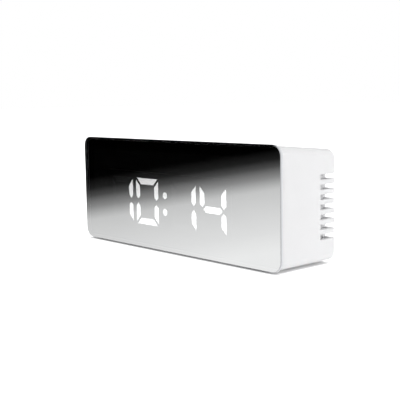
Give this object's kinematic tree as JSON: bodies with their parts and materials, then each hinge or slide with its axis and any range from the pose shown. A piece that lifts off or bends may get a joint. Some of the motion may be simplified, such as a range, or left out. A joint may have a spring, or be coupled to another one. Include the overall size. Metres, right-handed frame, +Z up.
{
  "type": "mirror alarm clock",
  "caption": "Free-standing alarm clock: flat mirror front over lit bar digits, white vented housing, rear keys, power inlet and hinged battery door.",
  "frame": {"origin": "centre of the clock's footprint on the table, under the middle of its box", "axes": "+X along the width, to the right seen from the front; +Y from the mirror to the back; +Z up"},
  "size_m": [0.138, 0.0352, 0.0528],
  "materials": {
    "half_mirror": "polished",
    "adhesive": "foam",
    "black_abs": "moulded",
    "black_film": "printed",
    "reflector_white": "moulded",
    "segment_lit": "diffusing",
    "segment_dark": "diffusing",
    "led_resin": "resin",
    "board_green": "solder resist",
    "zinc_steel": "zinc plated",
    "chip_black": "moulded",
    "can_metal": "drawn",
    "resistor_body": "glazed",
    "socket_ivory": "moulded",
    "ribbon_grey": "extruded",
    "white_abs": "fine satin",
    "capacitor_sleeve": "drawn",
    "switch_grey": "moulded",
    "button_white": "satin",
    "slider_white": "satin",
    "socket_steel": "stamped",
    "cell_sleeve": "shrunk sleeve",
    "spring_steel": "nickel plated",
    "contact_plate": "nickel plated",
    "lead_red": "extruded",
    "lead_black": "extruded",
    "foot_rubber": "moulded"
  },
  "bodies": {
    "case": {"mirror_panel": "half_mirror", "panel_tape": "adhesive", "front_carrier": "black_abs", "face_film": "black_film", "digit_block": "reflector_white", "lit_segments": "segment_lit", "dark_segments": "segment_dark", "segment_leds": "led_resin", "display_board": "board_green", "display_screws": "zinc_steel", "controller_chip": "chip_black", "clock_crystal": "can_metal", "board_resistors": "resistor_body", "ribbon_sockets": "socket_ivory", "ribbon_cable": "ribbon_grey", "housing": "white_abs", "control_board": "board_green", "control_screws": "zinc_steel", "board_capacitors": "capacitor_sleeve", "buzzer": "chip_black", "thermistor": "chip_black", "switch_bodies": "switch_grey", "slide_switch_body": "switch_grey", "usb_socket": "socket_steel", "battery_cells": "cell_sleeve", "battery_springs": "spring_steel", "battery_contacts": "contact_plate", "red_lead": "lead_red", "black_lead": "lead_black", "rubber_feet": "foot_rubber"},
    "mode_key": {"mode_button": "button_white", "mode_plunger": "chip_black"},
    "set_key": {"set_button": "button_white", "set_plunger": "chip_black"},
    "up_key": {"up_button": "button_white", "up_plunger": "chip_black"},
    "down_key": {"down_button": "button_white", "down_plunger": "chip_black"},
    "slider": {"brightness_slider": "slider_white"},
    "door": {"battery_door": "white_abs"}
  },
  "joints": [
    {"name": "mode_press", "type": "slide", "parent": "case", "child": "mode_key", "axis": [0, -1, 0], "range_m": [0, 0.0005], "stiffness_N_per_m": 400},
    {"name": "set_press", "type": "slide", "parent": "case", "child": "set_key", "axis": [0, -1, 0], "range_m": [0, 0.0005], "stiffness_N_per_m": 400},
    {"name": "up_press", "type": "slide", "parent": "case", "child": "up_key", "axis": [0, -1, 0], "range_m": [0, 0.0005], "stiffness_N_per_m": 400},
    {"name": "down_press", "type": "slide", "parent": "case", "child": "down_key", "axis": [0, -1, 0], "range_m": [0, 0.0005], "stiffness_N_per_m": 400},
    {"name": "brightness_slide", "type": "slide", "parent": "case", "child": "slider", "axis": [1, 0, 0], "range_m": [0, 0.0025]},
    {"name": "door_swing", "type": "hinge", "parent": "case", "child": "door", "pos_m": [0, 0.0162, 0.0061], "axis": [-1, 0, 0], "range_deg": [0, 80]}
  ]
}
